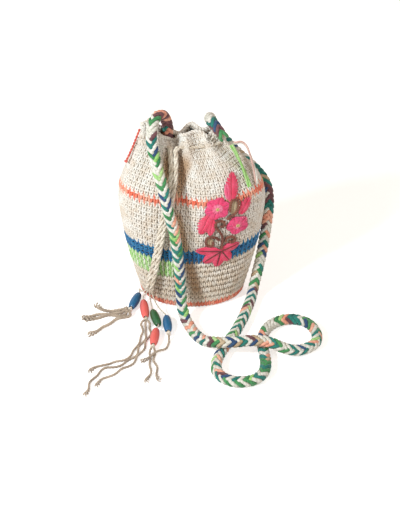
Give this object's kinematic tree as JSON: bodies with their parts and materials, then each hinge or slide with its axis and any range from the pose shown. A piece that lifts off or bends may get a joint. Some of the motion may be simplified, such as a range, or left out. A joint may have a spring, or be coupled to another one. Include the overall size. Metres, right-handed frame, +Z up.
{
  "type": "crocheted drawstring handbag",
  "caption": "Oval crochet bucket bag gathered by a drawstring with wooden beads, a long braided strap and a floral applique.",
  "frame": {"origin": "middle of the base's underside, on the surface the bag stands on", "axes": "+Z up, -Y the front with the applique, -X the side where the strap comes down the front"},
  "size_m": [0.3057, 0.2707, 0.2764],
  "materials": {
    "cream_crochet": "cotton crochet, cream with coloured stripes",
    "twine": "unbleached cotton twine",
    "braided_strap": "plait of white, green, lime, salmon and purple yarns",
    "coral_yarn": "coral yarn",
    "lime_yarn": "lime yarn",
    "pale_pink_yarn": "pale pink yarn",
    "pink_satin": "pink satin stitch",
    "rose_satin": "rose satin stitch",
    "brown_satin": "brown satin stitch",
    "blue_bead_left_paint": "blue gloss paint on wood",
    "blue_bead_right_paint": "blue gloss paint on wood",
    "coral_bead_left_paint": "coral gloss paint on wood",
    "coral_bead_right_paint": "coral gloss paint on wood",
    "green_bead_paint": "green gloss paint on wood"
  },
  "bodies": {
    "bag": {"applique_fan": "pink_satin", "applique_left_curl": "brown_satin", "applique_left_flower": "rose_satin", "applique_left_leaf": "pink_satin", "applique_right_curl": "brown_satin", "applique_right_flower": "rose_satin", "applique_right_leaf": "pink_satin", "applique_stem": "brown_satin", "applique_top_leaf": "pink_satin", "applique_upper_scroll": "brown_satin", "bag_body": "cream_crochet", "coral_tail": "coral_yarn", "coral_tail_knot": "coral_yarn", "drawstring": "twine", "knot_blue_bead_left": "twine", "knot_blue_bead_right": "twine", "knot_coral_bead_left": "twine", "knot_coral_bead_right": "twine", "lead_blue_left": "twine", "lead_blue_right": "twine", "lead_coral_left": "twine", "lead_green": "twine", "lime_tail": "lime_yarn", "pink_tail": "pale_pink_yarn", "strand_blue_1": "twine", "strand_blue_2": "twine", "strand_blue_3": "twine", "strand_blue_4": "twine", "strand_coral_1": "twine", "strand_coral_2": "twine", "strand_coral_3": "twine", "strand_right_1": "twine", "strand_right_2": "twine", "strand_right_3": "twine", "strap": "braided_strap"},
    "blue_bead_left": {"blue_bead_left": "blue_bead_left_paint"},
    "coral_bead_left": {"coral_bead_left": "coral_bead_left_paint"},
    "green_bead": {"green_bead": "green_bead_paint"},
    "coral_bead_right": {"coral_bead_right": "coral_bead_right_paint"},
    "blue_bead_right": {"blue_bead_right": "blue_bead_right_paint"}
  },
  "joints": [
    {"name": "blue_bead_left_turn", "type": "hinge", "parent": "bag", "child": "blue_bead_left", "pos_m": [-0.074, -0.0363, 0.0062], "axis": [0.3002, 0.9539, 0], "continuous": true},
    {"name": "coral_bead_left_turn", "type": "hinge", "parent": "bag", "child": "coral_bead_left", "pos_m": [-0.061, -0.0539, 0.0062], "axis": [-0.1175, 0.9931, 0], "continuous": true},
    {"name": "green_bead_turn", "type": "hinge", "parent": "bag", "child": "green_bead", "pos_m": [-0.04635, -0.0719, 0.0062], "axis": [-0.2769, 0.9609, 0], "continuous": true},
    {"name": "coral_bead_right_turn", "type": "hinge", "parent": "bag", "child": "coral_bead_right", "pos_m": [-0.0465, -0.11, 0.0062], "axis": [0.0995, 0.995, 0], "continuous": true},
    {"name": "blue_bead_right_turn", "type": "hinge", "parent": "bag", "child": "blue_bead_right", "pos_m": [-0.031, -0.084, 0.0062], "axis": [-0.0995, 0.995, 0], "continuous": true}
  ]
}
